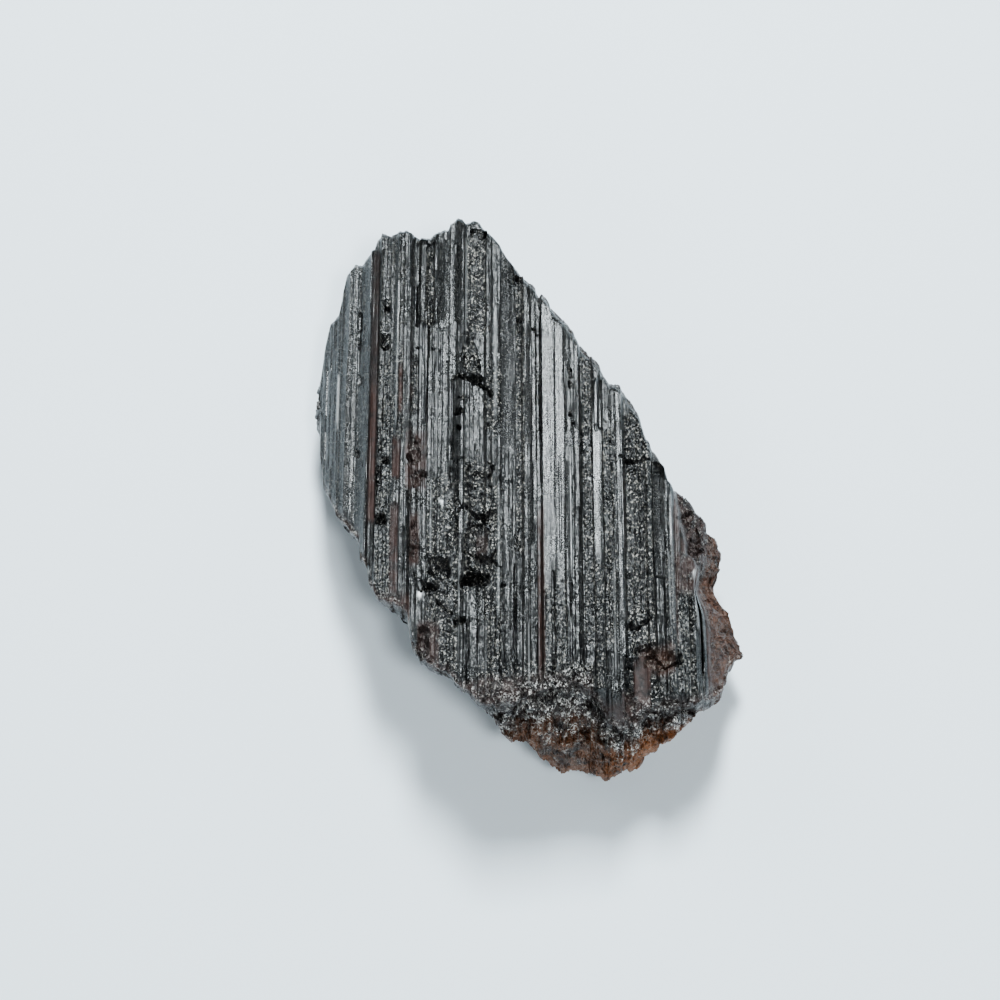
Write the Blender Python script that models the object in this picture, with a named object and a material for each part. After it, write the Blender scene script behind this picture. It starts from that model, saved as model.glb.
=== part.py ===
"""A rough black tourmaline crystal: a broken prism with striations along its length, lying on its back.

X runs across the striations, Y along them, Z up. All lengths below are in millimetres until the mesh is placed.
"""
import itertools

import bmesh
import bpy
import numpy as np

MM = 0.001
NAME = "tourmaline_crystal"
TRIANGLES = 9400

# Block before it is shaped: cuts across, along and through it
CUTS = (132, 84, 18)

# Crown of the striated face, from the left flank to the right one: place across, height
CROWN = (
    (-20.1, 7.4), (-19.0, 9.6), (-17.5, 11.7), (-15.4, 13.7), (-12.0, 15.3), (-8.0, 16.6), (-3.0, 17.6),
    (1.2, 18.0), (4.0, 18.0), (7.2, 17.3), (9.5, 16.4), (13.0, 14.8), (15.0, 13.4), (17.0, 11.0), (18.4, 8.4),
    (19.3, 6.4),
)
CROWN_MIDDLE, CROWN_FALL = 2.0, 0.0016

# Striations that run the whole length: place across, height over the crown
STRIAE = (
    (-20.1, 0.0), (-18.6, 0.0), (-18.35, 0.3), (-18.0, 0.0), (-17.5, 0.15), (-16.3, -0.2), (-15.7, 0.1),
    (-15.3, 0.35), (-15.1, -0.15), (-14.6, -0.15), (-14.4, 0.25), (-13.9, 0.05), (-13.0, 0.1), (-12.6, 0.4),
    (-12.35, -0.05), (-12.0, 0.3), (-11.4, 0.35), (-11.1, -0.3), (-10.6, -0.2), (-10.35, 0.3), (-9.9, 0.15),
    (-9.2, 0.25), (-8.85, 0.0), (-8.6, 0.25), (-7.6, 0.3), (-7.0, -0.05), (-6.6, -0.1), (-6.4, 0.15),
    (-6.1, 0.0), (-5.95, 0.45), (-5.7, 0.3), (-4.1, 0.2), (-3.9, 0.4), (-3.5, 0.15), (-3.0, 0.35),
    (-2.6, 0.25), (-2.4, -0.1), (-1.2, -0.15), (-0.95, -0.7), (-0.25, -0.6), (-0.1, 0.1), (0.35, 0.3),
    (1.0, 0.15), (1.1, -0.9), (1.4, -0.9), (1.6, 0.3), (2.7, 0.45), (3.6, 0.35), (3.7, 0.15), (4.1, 0.3),
    (4.9, 0.2), (5.05, -0.3), (5.3, -0.35), (6.2, -0.25), (6.35, 0.35), (7.1, 0.5), (7.25, 0.05), (8.4, 0.1),
    (8.6, 0.35), (9.05, 0.3), (9.3, -0.2), (10.5, -0.15), (11.4, 0.1), (11.8, 0.1), (12.0, -0.5),
    (12.7, -0.5), (13.1, 0.3), (13.6, 0.25), (13.9, -0.1), (14.4, 0.2), (15.2, -0.1), (15.6, 0.4),
    (15.95, 0.35), (16.1, -0.6), (16.25, 0.3), (16.7, 0.3), (17.0, 0.0), (19.3, 0.0),
)

# Edges of the striated face: place across, place along
FAR_EDGE = (
    (-20.1, 12.8), (-19.9, 15.2), (-19.4, 18.6), (-18.5, 20.0), (-18.15, 22.4), (-17.8, 24.6), (-17.0, 25.7),
    (-16.4, 25.6), (-15.2, 27.1), (-14.9, 28.4), (-14.4, 29.0), (-13.5, 28.7), (-12.1, 29.3), (-10.6, 28.6),
    (-9.4, 28.5), (-8.7, 29.4), (-7.75, 29.5), (-7.5, 30.3), (-6.7, 31.0), (-5.95, 30.1), (-5.2, 30.5),
    (-4.6, 30.2), (-2.9, 27.9), (-0.4, 24.7), (1.2, 22.9), (2.25, 21.6), (2.4, 20.8), (4.0, 19.0), (5.3, 16.8),
    (6.9, 14.6), (8.0, 12.6), (9.1, 12.2), (10.1, 10.8), (10.9, 9.0), (11.5, 6.5), (12.4, 5.1), (13.1, 3.2),
    (13.4, 1.9), (14.0, 0.9), (15.2, -0.2), (16.5, -2.1), (17.5, -3.9), (18.4, -6.2), (18.7, -9.6),
    (19.3, -15.0),
)
NEAR_EDGE = (
    (-20.1, 8.0), (-19.9, 4.4), (-19.5, 1.2), (-18.7, -0.4), (-18.1, -2.0), (-16.9, -3.3), (-15.9, -4.4),
    (-15.8, -6.4), (-15.1, -7.1), (-14.9, -8.8), (-14.1, -10.3), (-12.6, -11.0), (-11.2, -11.8),
    (-11.0, -13.6), (-10.7, -15.3), (-10.0, -16.4), (-9.0, -17.0), (-7.4, -17.8), (-6.2, -19.2),
    (-4.3, -20.8), (-2.6, -21.0), (-1.0, -20.4), (0.6, -20.0), (2.2, -19.0), (4.4, -18.9), (5.8, -20.0),
    (7.0, -22.0), (8.4, -23.6), (9.6, -23.0), (10.8, -21.6), (13.0, -21.2), (15.0, -21.2), (16.6, -20.6),
    (17.8, -19.6), (18.6, -17.8), (19.3, -16.2),
)

# Both edges and the marks on the face are read on a level plane, from a point high over the lower end
READING_LEVEL, SLANT, SPREAD, EYE = 15.0, 0.466, 0.0039, (-2.6, -0.4)

# Middle of the finished stone's outline, which becomes the origin
MIDDLE = (-0.35, 2.86)

# Walls of the lower end: place across, how far its widest line lies below the face and out from it
NEAR_WALL = (
    (-20.1, 0.5, 0.0), (-14.0, 0.5, 0.0), (-12.6, 1.4, 0.4), (-11.2, 1.8, 0.5), (-10.8, 0.5, 0.0),
    (-9.0, 1.4, 0.2), (-6.2, 0.6, 0.0), (-4.3, 1.0, 0.1), (-2.6, 3.8, 0.3), (-1.0, 6.8, 0.9), (0.6, 8.9, 2.3),
    (2.2, 10.6, 4.0), (4.4, 10.6, 5.0), (5.8, 10.2, 4.2), (7.0, 8.4, 3.1), (8.4, 7.0, 2.0), (9.6, 6.4, 2.2),
    (10.8, 6.8, 2.4), (13.0, 5.8, 1.3), (15.0, 2.8, 0.4), (17.0, 1.4, 0.4), (19.3, 0.8, 0.0),
)
FAR_DROP, FAR_REACH = 1.2, 0.25
LEFT_DROP, LEFT_REACH = 1.4, 0.1
RIGHT_DROP, RIGHT_REACH = 1.2, 0.1

# Underside, drawn in from the face's outline: the two edges, and how far it rises to them
BASE_NEAR = (
    (-17.2, 4.0), (-15.0, -1.0), (-10.0, -9.2), (-6.0, -13.0), (-3.0, -16.2), (0.0, -19.0), (2.0, -20.4),
    (5.0, -21.4), (8.0, -21.4), (11.0, -19.4), (14.0, -17.0), (16.8, -13.6),
)
BASE_FAR = (
    (-17.2, 12.0), (-15.0, 20.0), (-12.0, 24.0), (-8.0, 25.6), (-5.0, 25.6), (0.0, 20.5), (5.0, 14.0),
    (10.0, 7.4), (13.5, 0.0), (16.8, -9.0),
)
BASE_RISE, BASE_FLAT = 3.0, 0.62

# Hollows broken out of the face: place across, place along, half width, half length, depth
HOLLOWS = (
    (-4.7, -1.2, 1.3, 4.4, 1.1), (-5.0, -7.6, 1.8, 2.1, 2.6), (-8.4, -7.8, 1.2, 1.6, 1.8),
    (-5.3, 14.9, 1.1, 2.3, 0.9), (-10.7, 3.5, 0.9, 3.1, 0.9), (-13.7, 16.6, 0.6, 1.2, 0.6),
    (-13.7, 20.5, 0.5, 1.0, 0.5), (-14.1, -2.3, 0.6, 0.7, 1.0), (-13.9, 1.0, 0.5, 2.0, 0.5),
    (-13.5, 3.8, 0.4, 0.4, 0.7), (-6.3, 9.0, 0.5, 0.5, 0.9), (-9.7, -15.2, 0.7, 1.3, 1.6),
    (-6.2, -12.8, 0.8, 0.6, 1.2), (-0.6, 18.8, 0.4, 1.2, 0.6), (-4.8, 28.7, 0.6, 0.6, 0.8),
    (11.9, -16.6, 1.5, 1.3, 1.8), (-9.6, 23.0, 0.4, 4.2, 0.7), (12.3, -2.4, 0.5, 5.6, 0.4),
)

# Cracks across the striations: points, half width, depth
CRACKS = (
    (((-7.0, 12.6), (-6.5, 13.0), (-5.4, 12.3), (-4.6, 12.1), (-3.5, 10.8)), 0.45, 1.1),
    (((8.9, 4.2), (10.2, 3.9), (11.2, 3.9), (12.7, 3.6)), 0.45, 0.8),
    (((9.6, -12.7), (9.8, -13.2), (10.3, -13.4), (11.2, -12.7)), 0.35, 0.7),
    (((-6.8, -0.9), (-6.0, -1.0), (-4.8, -2.1), (-3.6, -2.3)), 0.3, 0.7),
)

# Sloping breaks at the lower end: from and to across, place along where it starts, height there, slope
BREAKS = ((5.9, 8.8, -19.6, 16.4, 0.85), (8.8, 14.0, -16.4, 15.4, 0.5), (14.0, 17.0, -19.6, 13.4, 0.9))

# Shelf on the right, broken off lower than the striated face: edge at the top, its drift, and its depth
SHELF_EDGE, SHELF_DRIFT, SHELF_TOP, SHELF_END, SHELF_DEPTH = 13.8, 0.17, 1.0, -6.3, 2.3

# Notch in the right edge, below the shelf
NOTCH_ALONG, NOTCH_WIDTH, NOTCH_DEPTH = -9.7, 1.9, 1.5


def across(points, x, column=1):
    return np.interp(x, [p[0] for p in points], [p[column] for p in points])


def ramp(value, start, end):
    t = np.clip((value - start) / (end - start), 0, 1)
    return t * t * (3 - 2 * t)


def scatter(cells, seed):
    """One number from -1 to 1 for each whole-numbered cell."""
    turn = sum(cell * step for cell, step in zip(cells, (127.1, 311.7, 74.7))) + 19.19 * seed
    return 2 * (np.sin(turn) * 43758.5453 % 1) - 1


def noise(seed, *places):
    """Smooth noise from -1 to 1 over one, two or three coordinates."""
    cells = [np.floor(p) for p in places]
    parts = [p - c for p, c in zip(places, cells)]
    parts = [t * t * (3 - 2 * t) for t in parts]
    total = 0
    for corner in itertools.product((0, 1), repeat=len(places)):
        share = 1
        for side, part in zip(corner, parts):
            share = share * (part if side else 1 - part)
        total = total + share * scatter([c + side for c, side in zip(cells, corner)], seed)
    return total


def hackle(seed, x, y, z, size):
    """Broken ground: facets about this size, each with its own tilt and height, from -1 to 1."""
    places = (x / size, y / size, z / size)
    nearest = np.full(np.shape(x), 9.0)
    height = np.zeros(np.shape(x))
    for step in itertools.product((-1, 0, 1), repeat=3):
        cells = [np.floor(p) + s for p, s in zip(places, step)]
        offsets = [p - c - 0.5 - 0.45 * scatter(cells, seed + k)
                   for k, (p, c) in enumerate(zip(places, cells))]
        distance = sum(o * o for o in offsets)
        tilt = sum(o * scatter(cells, seed + 5 + k) for k, o in enumerate(offsets))
        closer = distance < nearest
        nearest = np.where(closer, distance, nearest)
        height = np.where(closer, 0.5 * scatter(cells, seed + 9) + 0.6 * tilt, height)
    return height


def crown(x, y):
    return across(CROWN, x) - CROWN_FALL * (y - CROWN_MIDDLE) ** 2


def crack_depth(x, y, points, half_width, depth):
    nearest = np.full(np.shape(x), 99.0)
    for (x0, y0), (x1, y1) in zip(points, points[1:]):
        run, rise = x1 - x0, y1 - y0
        t = np.clip(((x - x0) * run + (y - y0) * rise) / (run * run + rise * rise), 0, 1)
        nearest = np.minimum(nearest, np.hypot(x - x0 - t * run, y - y0 - t * rise))
    return depth * (1 - ramp(nearest, 0.4 * half_width, half_width))


def shelf(x, y):
    edge = SHELF_EDGE + SHELF_DRIFT * (SHELF_TOP - y)
    end = SHELF_END - 1.65 * np.clip(x - 15.3, 0, 2)
    return ramp(x, edge, edge + 0.4) * ramp(y, end, end + 0.5)


def form(x, y):
    """Height of the face without its striations: the crown, the shelf on the right and the sloping breaks."""
    z = crown(x, y) - SHELF_DEPTH * shelf(x, y)
    for left, right, start, height, slope in BREAKS:
        inside = (x > left) & (x <= right) & (y < start)
        z = np.where(inside, np.minimum(z, height + slope * (y - start)), z)
    return z


def relief(x, y):
    """Striations, hollows, cracks and broken ground on the face."""
    z = across(STRIAE, x) + 0.12 * noise(3, x / 0.9, y / 9) + 0.1 * noise(4, x / 1.6, y / 2.2)
    broken = crown(x, y) - form(x, y) > 0.3
    z = np.where(broken, 0.5 * z + 0.45 * hackle(20, x, y, 0 * x, 1.8), z)
    for hx, hy, half_width, half_length, depth in HOLLOWS:
        reach = np.maximum(abs(x - hx) / half_width, abs(y - hy) / half_length)
        reach = reach + 0.2 * noise(6, x / 0.7, y / 0.9) - 0.12 * hackle(60, x, y, 0 * x, 0.9)
        z = z - depth * (1 - ramp(reach, 0.6, 1.0))
    for points, half_width, depth in CRACKS:
        z = z - crack_depth(x, y, points, half_width, depth)
    return z


def stand(x, y, z):
    """Takes a place read on the level plane to where it stands at its own height."""
    scale = 1 + SPREAD * (READING_LEVEL - z)
    return EYE[0] + (x - EYE[0]) * scale, EYE[1] + (y - EYE[1]) * scale - SLANT * (z - READING_LEVEL)


def stone(u, v, w):
    """Takes the block's points to the stone's: u across, v along and w up, each from 0 to 1."""
    across_face = CROWN[0][0] + (CROWN[-1][0] - CROWN[0][0]) * u
    near = across(NEAR_EDGE, across_face) + 0.15 * noise(1, across_face / 0.5)
    far = across(FAR_EDGE, across_face) + 0.15 * noise(2, across_face / 0.45)
    along_face = near + (far - near) * v
    height = form(across_face, along_face)
    x, y = stand(across_face, along_face, height)
    z = height + relief(across_face, along_face)
    x = x - NOTCH_DEPTH * np.exp(-(((along_face - NOTCH_ALONG) / NOTCH_WIDTH) ** 2)) * ramp(x, 15.0, 18.6)

    edge = np.maximum(abs(2 * u - 1), abs(2 * v - 1))
    base_x = BASE_NEAR[0][0] + (BASE_NEAR[-1][0] - BASE_NEAR[0][0]) * u
    base_y = across(BASE_NEAR, base_x) * (1 - v) + across(BASE_FAR, base_x) * v
    rough = 0.5 * noise(11, base_x / 6, base_y / 9) + 0.4 * hackle(30, base_x, base_y, 0 * x, 3.5)
    base_z = np.maximum(BASE_RISE * ramp(edge, BASE_FLAT, 1.1) + rough * ramp(edge, 0.5, 0.8), 0)

    on_near, on_far, on_left, on_right = v < 1e-4, v > 1 - 1e-4, u < 1e-4, u > 1 - 1e-4
    wall = across(NEAR_WALL, across_face), across(NEAR_WALL, across_face, 2)
    drop = np.select((on_near, on_far, on_left), (wall[0], FAR_DROP, LEFT_DROP), RIGHT_DROP)
    rim_x = x + RIGHT_REACH * on_right - LEFT_REACH * on_left
    rim_y = y + FAR_REACH * on_far - wall[1] * on_near
    rim = np.array((rim_x, rim_y, np.maximum(z - drop, base_z + 0.6)))
    top, base = np.array((x, y, z)), np.array((base_x, base_y, base_z))
    upper, lower = np.linalg.norm(rim - top, axis=0), np.linalg.norm(base - rim, axis=0)
    travel = (1 - w) * (upper + lower)
    point = top + (rim - top) * np.clip(travel / np.maximum(upper, 1e-6), 0, 1)
    point = point + (base - rim) * np.clip((travel - upper) / lower, 0, 1)
    ragged = 0.45 * hackle(40, *point, 2.6) + 0.2 * hackle(50, *point, 1.1)
    ragged = ragged * (1 - abs(2 * w - 1) ** 6)
    point[0] += ragged * (on_right * 1.0 - on_left)
    point[1] += ragged * (on_far * 1.0 - on_near)
    return point


def block():
    """A cube from 0 to 1, cut into a grid on each side."""
    mesh = bmesh.new()
    bmesh.ops.create_cube(mesh, size=1)
    bmesh.ops.translate(mesh, vec=(0.5, 0.5, 0.5), verts=mesh.verts)
    for axis, cuts in enumerate(CUTS):
        edges = [e for e in mesh.edges if abs(e.verts[0].co[axis] - e.verts[1].co[axis]) > 1e-3]
        bmesh.ops.subdivide_edges(mesh, edges=edges, cuts=cuts, use_grid_fill=True)
    return mesh


def crystal_material():
    material = bpy.data.materials.new("tourmaline")
    material.use_nodes = True
    shader = material.node_tree.nodes["Principled BSDF"]
    shader.inputs["Base Color"].default_value = (0.018, 0.019, 0.02, 1)
    shader.inputs["Roughness"].default_value = 0.42
    shader.inputs["Metallic"].default_value = 0
    return material


def crystal():
    mesh = bpy.data.meshes.new(NAME)
    shape = block()
    shape.to_mesh(mesh)
    shape.free()
    places = np.empty(len(mesh.vertices) * 3)
    mesh.vertices.foreach_get("co", places)
    points = stone(*places.reshape(-1, 3).T)
    points = points - np.array((*MIDDLE, 0))[:, None]
    mesh.vertices.foreach_set("co", (points * MM).T.ravel())
    mesh.materials.append(crystal_material())
    thing = bpy.data.objects.new(NAME, mesh)
    thin = thing.modifiers.new("fewer faces", "DECIMATE")
    thin.ratio = TRIANGLES / (2 * len(mesh.polygons))
    return thing


def main():
    for old in list(bpy.data.objects):
        bpy.data.objects.remove(old)
    home = bpy.data.collections.new("tourmaline crystal")
    bpy.context.scene.collection.children.link(home)
    home.objects.link(crystal())


main()
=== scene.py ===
"""The looks of a rough black tourmaline crystal: a broken prism with striations, grit, cracks and stains.

X runs across the striations, Y along them, Z up. Lengths are in millimetres until the mesh is placed.
"""

import itertools
import math

import bmesh
import bpy
import numpy as np
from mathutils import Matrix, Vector


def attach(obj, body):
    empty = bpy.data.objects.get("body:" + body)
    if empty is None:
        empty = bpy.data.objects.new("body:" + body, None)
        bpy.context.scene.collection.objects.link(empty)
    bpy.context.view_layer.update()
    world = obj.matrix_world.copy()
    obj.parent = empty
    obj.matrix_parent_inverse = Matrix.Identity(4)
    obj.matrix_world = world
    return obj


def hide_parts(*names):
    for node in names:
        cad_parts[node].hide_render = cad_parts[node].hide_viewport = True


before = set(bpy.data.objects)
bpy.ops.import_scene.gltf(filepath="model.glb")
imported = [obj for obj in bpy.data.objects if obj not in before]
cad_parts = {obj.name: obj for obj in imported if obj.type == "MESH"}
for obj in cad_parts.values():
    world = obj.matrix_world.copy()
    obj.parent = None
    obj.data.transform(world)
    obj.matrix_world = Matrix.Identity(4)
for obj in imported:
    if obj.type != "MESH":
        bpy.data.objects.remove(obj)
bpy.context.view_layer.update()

MM = 0.001
NODE = "tourmaline_crystal"
TRIANGLES = 195000
SHARP_ANGLE = math.radians(26)

# Block before it is shaped: cuts across, along and through it
CUTS = (400, 230, 70)

# Crown of the striated face, from the left flank to the right one: place across, height
CROWN = (
    (-20.1, 7.4), (-19.0, 9.6), (-17.5, 11.7), (-15.4, 13.7), (-12.0, 15.3), (-8.0, 16.6), (-3.0, 17.6),
    (1.2, 18.0), (4.0, 18.0), (7.2, 17.3), (9.5, 16.4), (13.0, 14.8), (15.0, 13.4), (17.0, 11.0),
    (18.4, 8.4), (19.3, 6.4),
)
CROWN_MIDDLE, CROWN_FALL = 2.0, 0.0016

# Striations that run the whole length: place across, height over the crown
STRIAE = (
    (-20.1, 0.0), (-18.6, 0.0), (-18.35, 0.1), (-18.0, 0.0), (-17.5, 0.15), (-16.3, -0.2), (-15.7, 0.1),
    (-15.3, 0.35), (-15.1, -0.2), (-14.6, -0.12), (-14.4, 0.25), (-13.9, 0.05), (-13.0, 0.1), (-12.6, 0.4),
    (-12.35, 0.2), (-12.0, 0.3), (-11.4, 0.35), (-11.1, 0.0), (-10.6, -0.05), (-10.35, 0.2), (-9.9, 0.25),
    (-9.2, 0.25), (-8.85, 0.0), (-8.6, 0.1), (-7.5, 0.25), (-7.4, 0.15), (-6.95, 0.25), (-6.6, -0.15),
    (-6.4, 0.1), (-6.1, 0.1), (-5.95, 0.45), (-5.7, 0.4), (-4.1, 0.1), (-3.9, 0.4), (-3.5, 0.15),
    (-3.35, 0.35), (-2.6, 0.25), (-2.5, 0.12), (-1.1, -0.44), (-0.98, -0.6), (-0.5, -0.5), (-0.35, 0.15),
    (0.0, 0.2), (0.2, 0.05), (0.35, 0.28), (0.92, 0.1), (1.0, -0.9), (1.3, -0.9), (1.45, 0.32),
    (2.65, 0.38), (2.72, 0.3), (2.8, 0.4), (3.55, 0.38), (3.7, 0.15), (4.1, 0.36), (5.05, 0.2), (5.2, -0.3),
    (5.4, -0.42), (6.2, -0.22), (6.35, 0.35), (7.1, 0.5), (7.25, 0.05), (8.4, 0.1), (8.55, 0.3),
    (9.05, 0.45), (9.3, -0.2), (10.5, -0.15), (11.4, 0.1), (11.8, 0.1), (12.0, -0.5), (12.7, -0.5),
    (13.1, 0.3), (13.6, 0.25), (13.9, -0.1), (14.4, 0.2), (15.2, -0.1), (15.6, 0.4), (15.95, 0.35),
    (16.1, 0.1), (16.25, 0.3), (16.7, 0.3), (17.0, 0.0), (19.3, 0.0),
)

# Striations that run part of the length: left, right, upper end, lower end, height
RUNS = (
    (-19.5, -19.3, 14, 4, -0.12), (-19.0, -18.8, 16, 3, -0.15), (-18.46, -18.22, 13, 7.5, 0.25),
    (-16.5, -16.1, 20, 18, -0.4), (-16.5, -16.1, 17, 16, -0.4), (-16.3, -15.9, 13, 12, -0.3),
    (-16.4, -16.0, 5, 4.2, -0.35), (-15.1, -14.55, 27, -2.5, -0.2), (-13.95, -13.15, 10.5, 8, -0.25),
    (-14.35, -14.05, 7.2, 5.5, -0.45), (-14.45, -13.95, 3, -1, -0.4), (-12.7, -12.4, 29, 17, 0.15),
    (-12.75, -12.45, 10, 7.5, 0.2), (-12.4, -12.05, 14, 9, -0.3), (-12.9, -12.2, 6, 2, -0.3),
    (-13.0, -12.2, -1, -10, -0.2), (-11.2, -10.7, 15, 9, -0.4), (-11.0, -10.72, 23, 18.7, -0.5),
    (-10.8, -9.75, 28, 18.6, -0.35), (-9.75, -9.1, 27, 18.6, -0.7), (-9.05, -8.75, 29, 18.8, 0.25),
    (-10.45, -10.2, 18.5, 11, 0.2), (-9.65, -9.55, 18.5, 8, -0.2), (-8.72, -8.58, 18, 13.5, 0.2),
    (-8.52, -8.38, 18, 11, -0.3), (-6.95, -6.6, 27.5, 19, -0.2), (-6.05, -5.9, 28.3, 17.5, 0.2),
    (-7.4, -7.3, 6, 2, 0.3), (-6.7, -6.0, 4, -4, -0.15), (0.35, 0.5, 21, -5, 0.15),
    (4.05, 4.18, 3, -8, 0.2), (5.4, 6.25, 7, 3.5, -0.15), (7.2, 9.0, 12, 8, -0.1), (11.3, 11.8, 3, -8, 0.2),
    (11.9, 12.8, 3, -8, -0.3), (14.3, 14.5, -1, -15, -0.2), (16.08, 16.2, -10.5, -18, -0.6),
    (-12.9, -12.5, 14, 7, 0.15), (-2.8, -2.6, 2, -13, 0.15), (3.02, 3.2, 4, -6, 0.08),
    (13.5, 13.7, 0, -13, 0.2), (13.2, 13.35, -6, -13, 0.15), (0.0, 0.2, -13, -19, 0.2),
    (-9.2, -9.0, 1, -6, 0.15), (8.0, 8.2, -7, -18, 0.2), (15.75, 16.0, -7.5, -14, 0.25),
    (4.75, 5.0, 12, 7, 0.15), (-1.25, -1.05, -7, -19, -0.5), (3.95, 4.15, -9, -18, -0.4),
    (2.25, 2.5, -8, -19, -0.3), (-5.75, -5.45, -13, -19, -0.5), (-6.55, -6.35, -7, -17, 0.15),
    (-4.0, -3.8, -13, -19, 0.15), (9.35, 9.7, 8, -14, -0.3), (-7.25, -7.05, 12, 1, -0.4),
    (6.5, 6.75, 12.2, 7, 0.3), (6.9, 7.2, 12.6, 7, -0.5), (9.1, 11.25, 4.0, -16, -0.3),
    (11.85, 12.9, 3.4, -8, -0.35),
)

# Edges of the striated face: place across, place along
FAR_EDGE = (
    (-20.1, 12.8), (-19.9, 15.2), (-19.4, 18.6), (-18.5, 20.0), (-18.15, 22.4), (-17.8, 24.6),
    (-17.0, 25.7), (-16.4, 25.6), (-15.2, 27.1), (-14.9, 28.4), (-14.4, 29.0), (-13.5, 28.7), (-12.1, 29.3),
    (-10.6, 28.6), (-9.4, 28.5), (-8.7, 29.4), (-7.75, 29.5), (-7.5, 30.3), (-6.7, 31.0), (-5.95, 30.1),
    (-5.2, 30.5), (-4.6, 30.2), (-2.9, 27.9), (-0.4, 24.7), (1.2, 22.9), (2.25, 21.6), (2.4, 20.8),
    (4.0, 19.0), (5.3, 16.8), (6.9, 14.6), (8.0, 12.6), (9.1, 12.2), (10.1, 10.8), (10.9, 9.0), (11.5, 6.5),
    (12.4, 5.1), (13.1, 3.2), (13.4, 1.9), (14.0, 0.9), (15.2, -0.2), (16.5, -2.1), (17.5, -3.9),
    (18.4, -6.2), (18.7, -9.6), (19.3, -15.0),
)
NEAR_EDGE = (
    (-20.1, 8.0), (-19.9, 4.4), (-19.5, 1.2), (-18.7, -0.4), (-18.1, -2.0), (-16.9, -3.3), (-15.9, -4.4),
    (-15.8, -6.4), (-15.1, -7.1), (-14.9, -8.8), (-14.1, -10.3), (-12.6, -11.0), (-11.2, -11.8),
    (-11.0, -13.6), (-10.7, -15.3), (-10.0, -16.4), (-9.0, -17.0), (-7.4, -17.8), (-6.2, -19.2),
    (-4.3, -20.8), (-2.6, -21.0), (-1.0, -20.4), (0.6, -20.0), (2.2, -19.0), (4.4, -18.9), (5.8, -20.0),
    (7.0, -22.0), (8.4, -23.6), (9.6, -23.0), (10.8, -21.6), (13.0, -21.2), (15.0, -21.2), (16.6, -20.6),
    (17.8, -19.6), (18.6, -17.8), (19.3, -16.2),
)

# Both edges and the marks on the face are read on a level plane, from a point high over the lower end
READING_LEVEL, SLANT, SPREAD, EYE = 15.0, 0.466, 0.0039, (-2.6, -0.4)

# Middle of the finished stone's outline, which becomes the origin
MIDDLE = (-0.35, 2.86)

# Walls of the lower end: place across, how far its widest line lies below the face and out from it
NEAR_WALL = (
    (-20.1, 0.5, 0.0), (-14.0, 0.5, 0.0), (-12.6, 1.4, 0.4), (-11.2, 1.8, 0.5), (-10.8, 0.5, 0.0),
    (-9.0, 1.4, 0.2), (-6.2, 0.6, 0.0), (-4.3, 1.0, 0.1), (-2.6, 3.8, 0.3), (-1.0, 6.8, 0.9), (0.6, 8.9, 2.3),
    (2.2, 10.6, 4.0), (4.4, 10.6, 5.0), (5.8, 10.2, 4.2), (7.0, 8.4, 3.1), (8.4, 7.0, 2.0), (9.6, 6.4, 2.2),
    (10.8, 6.8, 2.4), (13.0, 5.8, 1.3), (15.0, 2.8, 0.4), (17.0, 1.4, 0.4), (19.3, 0.8, 0.0),
)
FAR_DROP, FAR_REACH = 1.2, 0.25
LEFT_DROP, LEFT_REACH = 1.4, 0.1
RIGHT_DROP, RIGHT_REACH = 1.2, 0.1

# Underside, drawn in from the face's outline: the two edges, and how far it rises to them
BASE_NEAR = (
    (-17.2, 4.0), (-15.0, -1.0), (-10.0, -9.2), (-6.0, -13.0), (-3.0, -16.2), (0.0, -19.0), (2.0, -20.4),
    (5.0, -21.4), (8.0, -21.4), (11.0, -19.4), (14.0, -17.0), (16.8, -13.6),
)
BASE_FAR = (
    (-17.2, 12.0), (-15.0, 20.0), (-12.0, 24.0), (-8.0, 25.6), (-5.0, 25.6), (0.0, 20.5), (5.0, 14.0),
    (10.0, 7.4), (13.5, 0.0), (16.8, -9.0),
)
BASE_RISE, BASE_FLAT = 3.0, 0.62

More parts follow.
